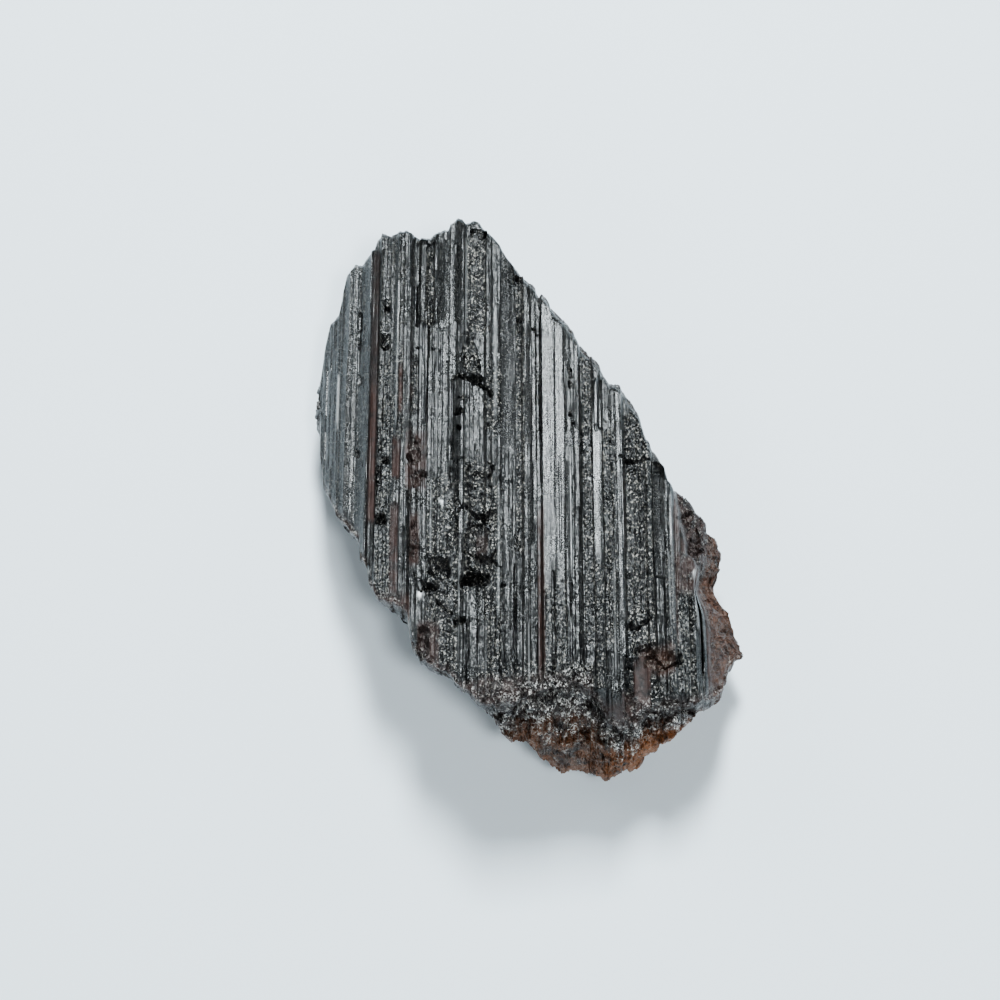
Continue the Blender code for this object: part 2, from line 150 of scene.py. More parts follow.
# Hollows broken out of the face: place across, place along, half width, half length, depth
HOLLOWS = (
    (-4.6, 1.0, 1.1, 2.2, 0.45), (-4.6, -3.8, 1.2, 2.6, 0.5), (-4.7, -7.0, 1.4, 1.3, 0.6),
    (-5.2, -8.8, 1.6, 0.7, 1.5), (-8.2, -7.4, 0.9, 1.0, 0.6), (-7.9, -6.7, 0.6, 0.4, 0.8),
    (-8.9, -9.4, 0.6, 0.4, 1.2), (-5.3, 15.2, 1.1, 2.2, 0.35), (-4.9, 12.6, 0.7, 0.45, 1.1),
    (-10.7, 4.6, 0.9, 1.7, 0.5), (-10.4, 1.7, 0.8, 0.8, 0.6), (-13.7, 16.6, 0.5, 1.1, 0.5),
    (-13.7, 20.5, 0.45, 0.9, 0.5), (-14.1, -2.3, 0.5, 0.6, 1.0), (-14.1, 1.0, 0.35, 2.0, 0.5),
    (-13.5, 3.8, 0.4, 0.4, 0.8), (-6.35, 9.0, 0.45, 0.45, 1.1), (-9.7, -15.2, 0.6, 1.0, 0.8),
    (-6.2, -12.8, 0.8, 0.5, 1.3), (-0.65, 18.8, 0.3, 1.1, 0.7), (-4.8, 28.7, 0.6, 0.6, 0.8),
    (12.2, -16.8, 1.5, 1.1, 0.8), (10.9, -15.6, 1.3, 0.6, 0.5), (-9.4, 23.0, 0.3, 4.2, 0.3),
    (-9.7, -9.4, 0.5, 0.4, 0.9), (-10.7, -4.5, 0.5, 2.5, 0.35), (4.2, 13.0, 0.2, 0.5, 0.35),
    (4.2, 11.7, 0.2, 0.4, 0.35), (4.2, 8.6, 0.22, 0.4, 0.35), (4.5, 7.5, 0.22, 0.35, 0.35),
    (-6.5, 7.2, 0.25, 0.3, 0.5), (-11.0, 6.2, 0.35, 0.35, 0.5), (-11.3, 4.0, 0.3, 0.4, 0.5),
    (-0.6, 24.0, 0.7, 0.5, 0.7), (-2.1, -21.3, 1.2, 0.8, 1.0), (-9.6, -13.8, 0.9, 0.5, 0.6),
    (15.5, -2.2, 0.7, 0.8, 0.5), (16.1, -5.0, 0.7, 0.9, 0.6),
)

# Cracks across the striations: points, half width, depth
CRACKS = (
    (((-7.0, 12.6), (-6.5, 13.0), (-5.9, 12.6), (-5.4, 12.3), (-4.8, 12.1), (-4.2, 11.6), (-3.5, 10.7)),
     0.28, 1.1),
    (((8.9, 4.2), (10.2, 3.9), (11.2, 3.9), (12.7, 3.6)), 0.2, 0.5),
    (((9.6, -12.7), (9.8, -13.2), (10.3, -13.4), (10.8, -12.9), (11.3, -12.6)), 0.28, 0.7),
    (((-6.8, -0.9), (-6.0, -1.0), (-5.4, -1.8), (-4.8, -2.1), (-3.6, -2.3)), 0.22, 0.7),
    (((-5.3, -2.9), (-4.3, -3.0), (-3.5, -3.8)), 0.2, 0.6),
    (((-6.8, 0.1), (-6.2, -0.9), (-6.6, -1.9)), 0.18, 0.5),
    (((-6.6, 10.6), (-5.7, 10.3)), 0.2, 0.5),
    (((-13.9, 10.6), (-13.1, 11.2)), 0.2, 0.4),
    (((-10.9, 16.1), (-9.9, 15.8), (-8.5, 15.6)), 0.15, 0.3),
    (((0.5, 18.05), (1.2, 18.05)), 0.15, 0.3),
    (((-8.5, -11.0), (-7.0, -12.2)), 0.25, 0.5),
)

# Small white grains: place across, place along, radius
FLECKS = (
    (-10.05, -10.1, 0.3), (-10.2, -8.0, 0.2), (-8.15, -0.6, 0.22), (-10.1, -9.0, 0.15), (15.8, -8.2, 0.3),
    (6.0, 2.0, 0.15), (-7.4, -19.0, 0.12),
)

# Pale threads: left, right, upper end, lower end, share
PALE = (
    (-18.42, -18.2, 13, 7.5, 0.4), (-12.68, -12.5, 20, 7.5, 0.15), (-10.42, -10.24, 18.5, 11, 0.22),
    (-9.2, -9.0, 1, -6, 0.15), (-8.75, -8.6, 18, 2, 0.15), (-6.5, -6.35, -7, -17, 0.1),
    (-5.99, -5.87, 28, 17.5, 0.25), (-4.0, -3.8, -13, -19, 0.12), (-3.1, -2.9, 20, 8, 0.2),
    (-2.8, -2.58, 1, -12, 0.22), (0.0, 0.2, -13, -19, 0.2), (4.02, 4.18, 3, -8, 0.25),
    (8.0, 8.2, -7, -18, 0.15), (13.2, 13.35, -6, -13, 0.15), (13.5, 13.7, 0, -13, 0.12),
    (9.9, 11.0, -17.2, -21.2, 0.03), (15.82, 15.96, -7.5, -14, 0.12), (16.3, 16.4, -8, -15, 0.06),
)

# Sloping breaks at the lower end: from and to across, place along where it starts, height there, slope
BREAKS = ((5.9, 8.8, -19.6, 16.4, 0.85), (8.8, 14.0, -16.4, 15.4, 0.5), (14.0, 17.0, -19.6, 13.4, 0.9))

# Shelf on the right, broken off lower than the striated face: edge at the top, its drift, and its depth
SHELF_EDGE, SHELF_DRIFT, SHELF_TOP, SHELF_END, SHELF_DEPTH = 13.8, 0.17, 1.0, -6.3, 2.3

# The shelf's end runs level to its turn, slopes down over the turn's width, and runs level again
SHELF_TURN, SHELF_TURN_WIDTH, SHELF_TURN_SLOPE = 15.3, 2, 1.65

# Notch in the right edge, below the shelf
NOTCH_ALONG, NOTCH_WIDTH, NOTCH_DEPTH = -9.7, 1.9, 1.5

# Grainy strips of the face: left, right, upper end, lower end, share
GRITTY = (
    (-5.8, -4.0, 28, 17.5, 1.0), (-4.0, -2.5, 14, 6.5, 0.8), (-4.0, -2.5, 1, -20, 0.8),
    (-4.5, 0.5, -17.5, -22, 1.0), (-1.0, -0.2, 25, -6, 0.9), (-11.2, -10.6, 15, 9, 0.9),
    (-9.8, -9.1, 27, 18.6, 1.0), (-14.4, -12.9, 16, -10, 0.5), (-12.9, -11.9, 16, 6, 0.6),
    (-14.4, -11.9, 29, 16, 0.2), (5.3, 6.3, 15, -15, 0.6), (7.3, 8.4, 7, -15, 0.7),
    (9.4, 11.9, 9, -16, 0.9), (-6.0, -3.3, 3.5, -10, 0.8), (-9.5, -6.5, 2, -18, 0.6),
    (13.0, 15.5, -6, -20, 0.5), (16.9, 19.5, 1, -20, 0.8), (-1.0, 6.0, -17, -27, 0.8),
    (6.3, 7.2, -7, -20, 0.7), (1.5, 3.65, -9, -20, 0.4), (-20.2, -15.3, 30, -10, 0.1),
)

# Polished strips of the face: left, right, upper end, lower end, share
POLISHED = (
    (-15.5, -15.2, 27, -6, 0.8), (-15.15, -14.5, 27, -2.5, 0.7), (-12.0, -11.35, 14, 3, 0.9),
    (-10.8, -9.8, 28, 18.6, 0.8), (-8.7, -6.1, 28, 18.6, 0.8), (-2.6, -1.1, 26.5, 5, 1.0),
    (-0.15, 1.0, 21, -5, 0.6), (1.5, 3.65, 22, -9, 0.75), (3.65, 4.95, 16, -6, 0.5),
    (-20.2, -15.5, 30, -10, 0.6), (6.3, 7.15, 9, -6, 1.0), (7.2, 9.0, 12, 8, 0.8),
    (8.45, 9.15, 7, -15, 0.7), (11.9, 12.8, 3, -8, 0.9), (-6.7, -6.0, 4, -4, 0.8),
    (-18.5, -18.2, 13, 7.5, 0.9), (-10.5, -10.1, 18.5, 8, 0.7), (9.8, 11.2, -16.8, -24, 0.6),
    (8.8, 11.0, -13.6, -16, 0.7), (15.5, 15.95, -7, -15, 0.8), (5.4, 6.25, 7, 3.5, 0.9),
)

# Raised striations are polished too
RIDGES = tuple((left, right, upper, lower, 0.9) for left, right, upper, lower, height in RUNS if height > 0)

# Red-brown stains: left, right, upper end, lower end, share
BROWN = (
    (-15.15, -14.5, 27, 11, 0.3), (-15.15, -14.5, 12, -2.5, 1.0), (-4.5, -1, -18.5, -22, 0.6),
    (-12.4, -12.05, 14, 9, 1.0), (-12.9, -12.2, 6, 2, 0.9), (-13.0, -12.2, -1, -10, 0.7),
    (-11.6, -9.6, 6.7, 0.7, 0.7), (-11.1, -10.2, -2, -7, 0.9), (1.0, 1.6, -1, -18, 0.8),
    (-4.8, -3.7, -4, -6, 0.5), (13.9, 18.6, 1, -10, 0.7), (13.8, 14.0, -1, -15, 0.6),
    (-13.6, -11.0, -10.2, -13, 0.8), (-10.2, -8.2, -13, -18, 0.7), (-6.2, -4.4, -19, -21, 0.6),
    (10.2, 13.6, -15.2, -18, 0.7), (9.7, 11.3, -16.8, -21.5, 1.0), (16.6, 19.5, -8, -21, 0.9),
    (6.2, 9.4, -21, -24, 0.6), (-1.5, 6, -18, -22, 0.35), (8.6, 10.2, -20, -24, 0.8),
    (-11.3, -10.9, 11.6, 10.8, 0.8),
)

# Parts of the face with a finish of their own: left, right, upper end, lower end
WEDGE = (6.0, 8.7, 0, -26)
PINKISH_FACET = (9.7, 11.3, -16.8, -22.5)
RUSTY_PATCH = (10.8, 13.4, -15.6, -17.6)

# Right flank: where the face starts to turn into it, and where it is all flank
FLANK = (16.6, 17.6)

# Bevel along the far edge of the face
FAR_BEVEL, FAR_BEVEL_DEPTH = 0.4, 0.3

# Long narrow facets of the face: width and length
WIDE_LANES, NARROW_LANES = (0.5, 40), (0.22, 14)

# Closeness to an end of the block at which a point counts as lying on that side
AT_SIDE = 1e-4

# Colours of the stone, its dust, the painted shade in its hollows, its stains (on the walls partly a painted
# warm reflection) and earth, its painted glints as specks and bright grains, and its pale grains
BLACK, BLACK_STREAK = (0.002, 0.0022, 0.0024, 1), (0.008, 0.009, 0.0095, 1)
DUST, PAINTED_HOLLOW_SHADE = (0.016, 0.017, 0.017, 1), (0.004, 0.004, 0.004, 1)
DEEP_BROWN, LIGHT_BROWN, EARTH = (0.027, 0.012, 0.0095, 1), (0.066, 0.033, 0.026, 1), (0.24, 0.092, 0.03, 1)
PAINTED_SPECK_COLOUR, PAINTED_GLINT_COLOUR, WHITE_GRAIN = (0.46, 0.44, 0.4, 1), (0.88, 0.86, 0.82, 1), (0.85, 0.86, 0.86, 1)

# Grain of the material: grains and lumps for each millimetre, and how far patterns are drawn out along Y
GRAINS, LUMPS = 7.5, 3.2
LINE_STRETCH, STREAK_STRETCH, SPLINTER_STRETCH = 0.012, 0.12, 0.16
BUMP_HEIGHT, IOR = 0.045, 1.63

# Floor: colour, and half its width in metres
FLOOR_COLOUR, FLOOR_SIZE = (0.8, 0.87, 0.92, 1), 2

# Lights: name, place, width, length, power in watts
LIGHTS = (
    ("far_window", (5, 229, 397), 85, 150, 3.45),
    ("left_window", (-400, 160, 330), 200, 200, 0.6),
    ("right_window", (380, 200, 330), 120, 160, 0.22),
    ("near_lamp", (70, -190, 400), 60, 60, 0.95),
    ("low_window", (-40, -430, 190), 200, 60, 0.5),
)
LIGHT_COLOUR = (0.9, 0.97, 1.0)

# Room: its colour, its brightness low down and overhead, and the heights of view between which that changes
ROOM_COLOUR, ROOM_LOW, ROOM_HIGH = (0.93, 0.97, 1.0, 1), 0.045, 0.07
ROOM_LOW_VIEW, ROOM_HIGH_VIEW = 0.1, 0.8

# Camera: sensor and lens, the point it looks at, and how far and how steeply it looks down
SENSOR, LENS = 36.0, 88.3
TARGET = (-2.22, -3.26, 15.0)
DISTANCE, ELEVATION = 233.0, math.radians(65)
NEAREST_SEEN = 10.0
LOOK = "AgX - Medium High Contrast"


def across(points, x, column=1):
    return np.interp(x, [p[0] for p in points], [p[column] for p in points])


def part_way(points, share):
    """Place across, a share of the way from the first point to the last one."""
    return points[0][0] + (points[-1][0] - points[0][0]) * share


def most(*shares):
    return np.maximum.reduce(shares)


def ramp(value, start, end):
    t = np.clip((value - start) / (end - start), 0, 1)
    return t * t * (3 - 2 * t)


def band(x, left, right, soft):
    """1 between two places and 0 outside them."""
    return ramp(x, left - soft, left + soft) * (1 - ramp(x, right - soft, right + soft))


def patch(x, y, left, right, upper, lower, soft=0.05, ends=0.5):
    """1 inside a strip of the face and 0 outside it."""
    width = band(x, left, right, soft)
    return width * ramp(y, lower - ends, lower + ends) * (1 - ramp(y, upper - ends, upper + ends))


def strips(x, y, rows):
    share = np.zeros(np.shape(x))
    for left, right, upper, lower, amount in rows:
        share = np.maximum(share, amount * patch(x, y, left, right, upper, lower))
    return share


def scatter(cells, seed):
    """One number from -1 to 1 for each whole-numbered cell."""
    turn = sum(cell * step for cell, step in zip(cells, (127.1, 311.7, 74.7))) + 19.19 * seed
    return 2 * (np.sin(turn) * 43758.5453 % 1) - 1


def noise(seed, *places):
    """Smooth noise from -1 to 1 over one, two or three coordinates."""
    cells = [np.floor(p) for p in places]
    parts = [p - c for p, c in zip(places, cells)]
    parts = [t * t * (3 - 2 * t) for t in parts]
    total = 0
    for corner in itertools.product((0, 1), repeat=len(places)):
        share = 1
        for side, part in zip(corner, parts):
            share = share * (part if side else 1 - part)
        total = total + share * scatter([c + side for c, side in zip(cells, corner)], seed)
    return total


def hackle(seed, *places):
    """Broken ground over two or three coordinates: facets one unit across, each with a tilt and a height."""
    nearest = np.full(np.shape(places[0]), 9.0)
    height = np.zeros(np.shape(places[0]))
    for step in itertools.product((-1, 0, 1), repeat=len(places)):
        cells = [np.floor(p) + s for p, s in zip(places, step)]
        offsets = [p - c - 0.5 - 0.45 * scatter(cells, seed + k)
                   for k, (p, c) in enumerate(zip(places, cells))]
        distance = sum(o * o for o in offsets)
        tilt = sum(o * scatter(cells, seed + 5 + k) for k, o in enumerate(offsets))
        closer = distance < nearest
        nearest = np.where(closer, distance, nearest)
        height = np.where(closer, 0.5 * scatter(cells, seed + 9) + 0.6 * tilt, height)
    return height


def broken(seed, x, y, z, size):
    return hackle(seed, x / size, y / size, z / size)


def crown(x, y):
    return across(CROWN, x) - CROWN_FALL * (y - CROWN_MIDDLE) ** 2


def crack_depth(x, y, points, half_width, depth):
    nearest = np.full(np.shape(x), 99.0)
    for (x0, y0), (x1, y1) in zip(points, points[1:]):
        run, rise = x1 - x0, y1 - y0
        t = np.clip(((x - x0) * run + (y - y0) * rise) / (run * run + rise * rise), 0, 1)
        nearest = np.minimum(nearest, np.hypot(x - x0 - t * run, y - y0 - t * rise))
    return depth * (1 - ramp(nearest, 0.1 * half_width, half_width))


def shelf(x, y):
    edge = SHELF_EDGE + SHELF_DRIFT * (SHELF_TOP - y)
    end = SHELF_END - SHELF_TURN_SLOPE * np.clip(x - SHELF_TURN, 0, SHELF_TURN_WIDTH)
    return ramp(x, edge, edge + 0.4) * ramp(y, end, end + 0.5)


def form(x, y):
    """Height of the face without its striations: the crown, the shelf on the right and the sloping breaks."""
    z = crown(x, y) - SHELF_DEPTH * shelf(x, y)
    for left, right, start, height, slope in BREAKS:
        inside = (x > left) & (x <= right) & (y < start)
        z = np.where(inside, np.minimum(z, height + slope * (y - start)), z)
    return z


def hollow_reach(x, y):
    """How deep each place lies in a hollow or a crack."""
    depths = np.zeros(np.shape(x))
    chips, steps = hackle(60, x / 1.7, y / 1.9), hackle(63, x / 1.0, y / 1.2)
    aside, down = noise(6, x / 1.1, y / 1.3), noise(7, x / 1.2, y / 1.1)
    for hx, hy, half_width, half_length, depth in HOLLOWS:
        stray = 0.35 * min(half_width, half_length, 1.0)
        side, end = (x - hx + stray * aside) / half_width, (y - hy + stray * down) / half_length
        reach = 0.45 * np.hypot(side, end) + 0.6 * np.maximum(abs(side), abs(end))
        reach = reach * (1 + 0.6 * chips + 0.15 * aside)
        depths = depths + depth * (1 + 0.4 * steps) * (1 - ramp(reach, 0.7, 1.04))
    for points, half_width, depth in CRACKS:
        thin = half_width * (0.8 + 0.5 * noise(15, x / 0.5, y / 0.5))
        depths = depths + crack_depth(x + 0.15 * down, y + 0.15 * aside, points, thin, depth)
    return depths


def flecks(x, y):
    """1 on the small white grains in the face."""
    share = np.zeros(np.shape(x))
    for fx, fy, radius in FLECKS:
        share = np.maximum(share, 1 - ramp(np.hypot(x - fx, y - fy), 0.7 * radius, radius))
    return share


def lanes(seed, x, y, size):
    """Long narrow facets.

    Gives how far each place lies from its facet's middle line, and two numbers for the facet.
    """
    width, length = size
    nearest = np.full(np.shape(x), 9.0)
    off, first, second = np.zeros((3, *np.shape(x)))
    for step in itertools.product((-1, 0, 1), repeat=2):
        cells = [np.floor(p) + s for p, s in zip((x / width, y / length), step)]
        aside, along = (p - c - 0.5 - 0.45 * scatter(cells, seed + k)
                        for k, (p, c) in enumerate(zip((x / width, y / length), cells)))
        distance = aside * aside + along * along
        closer = distance < nearest
        nearest = np.where(closer, distance, nearest)
        off = np.where(closer, aside * width, off)
        first = np.where(closer, scatter(cells, seed + 3), first)
        second = np.where(closer, scatter(cells, seed + 4), second)
    return off, first, second


def edges(x):
    """Near and far edge of the face, with their chips."""
    near = across(NEAR_EDGE, x) + 0.07 * noise(1, x / 0.5)
    near = near + band(x, -2.0, 12.0, 1.5) * (0.35 * noise(17, x / 1.5) + 0.12 * noise(18, x / 0.5))
    return near, across(FAR_EDGE, x) + 0.07 * noise(2, x / 0.45)


def face_marks(x, y, height, near, far):
    """How far each place of the face is fallen, broken, worn, grainy, polished or hollow, by name."""
    wedge = patch(x, y, *WEDGE, 0.2)
    fallen = (crown(x, y) - height) * (1 - 0.9 * wedge)
    from_end = y - near + 1.1 * noise(13, x / 0.7, y / 2.5)
    brink = 1 - ramp(far - y + 0.25 * noise(19, x / 0.6, y / 0.6), 0.1, 1.4)
    brink = brink * band(x, -0.8, 12.5, 0.8)
    return {
        "fallen": fallen * (1 - 0.8 * patch(x, y, *PINKISH_FACET, 0.15)),
        "end": (1 - ramp(from_end, 0.2, 2.4)) * band(x, -3.0, 13.0, 1.5) * (1 - wedge),
        "brink": brink,
        "worn_rim": 1 - ramp(y - near + 0.3 * noise(23, x / 0.6), 0.2, 1.0),
        "grit": np.maximum(strips(x, y, GRITTY), brink),
        "polish": np.maximum(strips(x, y, POLISHED), strips(x, y, RIDGES)) * (1 - brink),
        "hollow": hollow_reach(x, y),
    }


def relief(x, y, marks):
    """Striations, hollows, cracks and broken ground on the face."""
    end, polish, hollow = marks["end"], marks["polish"], marks["hollow"]
    wander = 0.05 * noise(12, x / 2.0, y / 8.0)
    calm = (1 - 0.85 * polish) * (1 - 0.7 * end)
    off, tilt, height = lanes(70, x, y, WIDE_LANES)
    level = 0.85 * (crown(x - off, y) - crown(x, y)) * ramp(17.5 - x, 0, 3)
    z = across(STRIAE, x + wander) * (1 - 0.6 * end) + calm * (level + 0.16 * tilt * off + 0.05 * height)
    off, tilt, height = lanes(80, x, y, NARROW_LANES)
    z = z + calm * (0.3 * tilt * off + 0.04 * height)
    z = z + 0.08 * noise(3, x / 0.9, y / 12) * calm + 0.08 * noise(4, x / 1.6, y / 2.2) * (1 - polish)
    for left, right, upper, lower, height in RUNS:
        z = z + height * patch(x + wander, y, left, right, upper, lower, 0.04, 0.3)
    rough = most(ramp(marks["fallen"], 0.2, 0.6), end, 0.4 * ramp(x, FLANK[0], 17.4))
    facets = 0.5 * hackle(20, x / 1.8, y / 1.8) + 0.3 * hackle(25, x / 0.8, y / 0.8)
    z = z * (1 - 0.5 * rough) + rough * facets
    grit = np.maximum(marks["grit"], rough)
    uneven = 0.25 + 0.75 * ramp(noise(16, x / 0.7, y / 1.8), -0.5, 0.5)
    crumbs = 0.12 * hackle(90, x / 0.5, y / 0.8) + 0.1 * hackle(95, x / 0.26, y / 0.4)
    z = z + (0.25 * (1 - polish) + grit) * uneven * crumbs
    bottom = 0.8 * hackle(97, x / 1.3, y / 1.5) + 0.2 * hackle(98, x / 0.5, y / 0.6)
    return z - hollow + np.minimum(1.5 * hollow, 1) * bottom


def worn_edges(x, y, far, marks):
    """How deep the far edge is bevelled and crumbled, and the near rim worn."""
    bevel = FAR_BEVEL_DEPTH * (1 - ramp(far - y, 0, FAR_BEVEL)) * (1 + 0.7 * noise(14, x / 0.7))
    rim = marks["worn_rim"] * (0.25 + 0.5 * hackle(22, x / 0.7, y / 0.7))
    brink = marks["brink"] * (0.7 + 0.35 * hackle(21, x / 0.9, y / 0.9))
    return bevel, rim, brink


def stand(x, y, z):
    """Takes a place read on the level plane to where it stands at its own height."""
    scale = 1 + SPREAD * (READING_LEVEL - z)
    return EYE[0] + (x - EYE[0]) * scale, EYE[1] + (y - EYE[1]) * scale - SLANT * (z - READING_LEVEL)


def underside(u, v):
    edge = np.maximum(abs(2 * u - 1), abs(2 * v - 1))
    x = part_way(BASE_NEAR, u)
    y = across(BASE_NEAR, x) * (1 - v) + across(BASE_FAR, x) * v
    rough = 0.5 * noise(11, x / 6, y / 9) + 0.4 * broken(30, x, y, 0 * x, 3.5)
    z = np.maximum(BASE_RISE * ramp(edge, BASE_FLAT, 1.1) + rough * ramp(edge, 0.5, 0.8), 0)
    return np.array((x, y, z))


def walls(top, base, across_face, w, sides):
    """Leads each wall from the face out to its widest line, and from there in to the underside."""
    on_near, on_far, on_left, on_right = sides
    near_drop, near_reach = across(NEAR_WALL, across_face), across(NEAR_WALL, across_face, 2)
    drop = np.select((on_near, on_far, on_left), (near_drop, FAR_DROP, LEFT_DROP), RIGHT_DROP)
    widest = np.array((
        top[0] + RIGHT_REACH * on_right - LEFT_REACH * on_left,
        top[1] + FAR_REACH * on_far - near_reach * on_near,
        np.maximum(top[2] - drop, base[2] + 0.6),
    ))
    upper, lower = np.linalg.norm(widest - top, axis=0), np.linalg.norm(base - widest, axis=0)
    travel = (1 - w) * (upper + lower)
    point = top + (widest - top) * np.clip(travel / np.maximum(upper, 1e-6), 0, 1)
    return point + (base - widest) * np.clip((travel - upper) / lower, 0, 1)


def break_walls(point, across_face, w, sides):
    """Breaks the walls up into facets, the deepest ones on the tall wall of the lower end."""
    on_near, on_far, on_left, on_right = sides
    on_wall = on_near | on_far | on_left | on_right
    places = point[:, on_wall]
    steep = (on_near * ramp(w, 0.4, 0.6) * ramp(across(NEAR_WALL, across_face), 2, 6))[on_wall]
    away = 1.0 - on_near[on_wall]
    coarse, medium, small = (broken(seed, *places, size) for seed, size in ((40, 2.6), (50, 1.2), (55, 0.5)))
    depth = np.zeros(np.shape(w))
    depth[on_wall] = (0.4 + 0.5 * steep + 0.35 * away) * coarse + (0.22 + 0.58 * steep + 0.2 * away) * medium
    depth[on_wall] += (0.08 + 0.17 * steep) * small
    depth = depth * (1 - abs(2 * w - 1) ** 8)
    point[0] += depth * (on_right * 1.0 - on_left)
    point[1] += depth * (on_far * 1.0 - on_near)
    point[2] += 0.5 * depth * on_near * ramp(w, 0.3, 0.6) * (1 - ramp(w, 0.97, 1.0))


def finishes(x, y, w, on_near, marks):
    """Shares that the material reads, by name, from the place on the face and the height in the block."""
    end, worn_rim, hollow = marks["end"], marks["worn_rim"], marks["hollow"]
    face = ramp(w, 0.9, 1.0)
    side = 1 - face
    flank = ramp(x, *FLANK)
    front = on_near * side * ramp(across(NEAR_WALL, x), 1, 5)
    high = ramp(w + 0.12 * noise(24, x / 1.5, w * 6), 0.5, 0.75)
    earthy = 0.12 + 0.38 * ramp(x, -6, -1) + 0.5 * ramp(x, 6.5, 8.5)
    rusty = patch(x, y, *RUSTY_PATCH, 0.6, 0.8)
    grainy = most(marks["grit"], end, worn_rim, ramp(marks["fallen"], 0.2, 0.6), ramp(hollow, 0.05, 0.4))
    stained = most(strips(x, y, BROWN), 0.4 * marks["brink"], 0.5 * worn_rim)
    return {
        "wall": most((0.5 + 0.5 * on_near) * side, 0.6 * worn_rim, 0.7 * end, 0.8 * flank),
        "grit": most(face * grainy, (0.15 + 0.35 * on_near) * side + 0.35 * front),
        "polish": face * marks["polish"] * (1 - ramp(hollow, 0.05, 0.3)) * (1 - end),
        # Brown stains on the face; on the walls a brown that grows towards the bottom, partly the broken
        # ends' own brown and partly a painted warm reflection
        "stain_and_warm_reflection": most(face * stained, (0.15 + 0.15 * on_near + 0.4 * ramp(0.5 - w, 0, 0.3)) * side),
        "fleck": face * most(flecks(x, y), strips(x, y, PALE)),
        "ochre": most(side * on_near * ramp(0.9 - w, 0, 0.35) * earthy, 0.22 * flank, 0.16 * face * rusty),
        # Painted glints: bright grains painted at the face's broken lower end, along the worn rim, and most
        # on the upper part of the lower end's wall
        "painted_glint": most(face * most(0.6 * end, 0.25 * worn_rim), front * (0.15 + 0.85 * high)),
        # Share of painted shade in the hollows and cracks
        "depth": face * ramp(hollow, 0.1, 1.0),
    }


def stone(u, v, w):
    """Takes the block's points to the stone's, and gives the finish there.

    u runs across, v along and w up, each from 0 to 1.
    """
    across_face = part_way(CROWN, u)
    near, far = edges(across_face)
    along_face = near + (far - near) * v
    height = form(across_face, along_face)
    marks = face_marks(across_face, along_face, height, near, far)
    x, y = stand(across_face, along_face, height)
    z = height + relief(across_face, along_face, marks)
    for depth in worn_edges(across_face, along_face, far, marks):
        z = z - depth
    x = x + ramp(across_face, *FLANK) * (0.35 * broken(100, x, y, z, 2.0) + 0.2 * broken(105, x, y, z, 0.8))
    x = x - NOTCH_DEPTH * np.exp(-(((along_face - NOTCH_ALONG) / NOTCH_WIDTH) ** 2)) * ramp(x, 15.0, 18.6)
    sides = v < AT_SIDE, v > 1 - AT_SIDE, u < AT_SIDE, u > 1 - AT_SIDE
    point = walls(np.array((x, y, z)), underside(u, v), across_face, w, sides)
    break_walls(point, across_face, w, sides)
    return point, finishes(across_face, along_face, w, sides[0], marks)


def block():
    """A cube from 0 to 1, cut into a grid on each side."""
    mesh = bmesh.new()
    bmesh.ops.create_cube(mesh, size=1)
    bmesh.ops.translate(mesh, vec=(0.5, 0.5, 0.5), verts=mesh.verts)
    for axis, cuts in enumerate(CUTS):
        edges = [e for e in mesh.edges if abs(e.verts[0].co[axis] - e.verts[1].co[axis]) > 1e-3]
        bmesh.ops.subdivide_edges(mesh, edges=edges, cuts=cuts, use_grid_fill=True)
    return mesh


class Nodes:
    """A material's node tree, with a short way to add and join nodes."""

    def __init__(self, name):
        self.material = bpy.data.materials.new(name)
        self.material.use_nodes = True
        self.tree = self.material.node_tree
        self.shader = self.tree.nodes["Principled BSDF"]

    def add(self, kind, inputs=(), output=0, **settings):
        node = self.tree.nodes.new(kind)
        for name, value in settings.items():
            setattr(node, name, value)
        for key, value in dict(inputs).items():
            self.put(node.inputs[key], value)
        return node.outputs[output]

    def put(self, socket, value):
        if isinstance(value, bpy.types.NodeSocket):
            self.tree.links.new(value, socket)
        else:
            socket.default_value = value

    def math(self, operation, *values, clamp=False):
        return self.add("ShaderNodeMath", dict(enumerate(values)), operation=operation, use_clamp=clamp)

    def times(self, first, second):
        return self.math("MULTIPLY", first, second)

    def vector(self, operation, *values):
        return self.add("ShaderNodeVectorMath", dict(enumerate(values)), operation=operation)

    def mix(self, share, first, second):
        """Mix of two colours."""
        return self.add("ShaderNodeMix", {0: share, 6: first, 7: second}, output=2, data_type="RGBA")

    def between(self, value, low, high, new_low=0.0, new_high=1.0):
        return self.add("ShaderNodeMapRange", {0: value, 1: low, 2: high, 3: new_low, 4: new_high})

    def attribute(self, name):
        return self.add("ShaderNodeAttribute", output="Fac", attribute_name=name)

    def scaled(self, places, scale):
        return self.add("ShaderNodeMapping", {"Vector": places, "Scale": scale})

    def noise(self, places, scale, detail=4.0, rough=0.55):
        inputs = {"Vector": places, "Scale": scale, "Detail": detail, "Roughness": rough}
        return self.add("ShaderNodeTexNoise", inputs)

    def grains(self, places, scale):
        """Cells with a random colour each."""
        return self.add("ShaderNodeTexVoronoi", {"Vector": places, "Scale": scale}, output="Color")

    def lean(self, grains, share):
        """A direction of its own for each grain, from the grain's colour."""
        turned = self.vector("SUBTRACT", grains, (0.5, 0.5, 0.5))
        return self.add("ShaderNodeVectorMath", {0: turned, "Scale": share}, operation="SCALE")


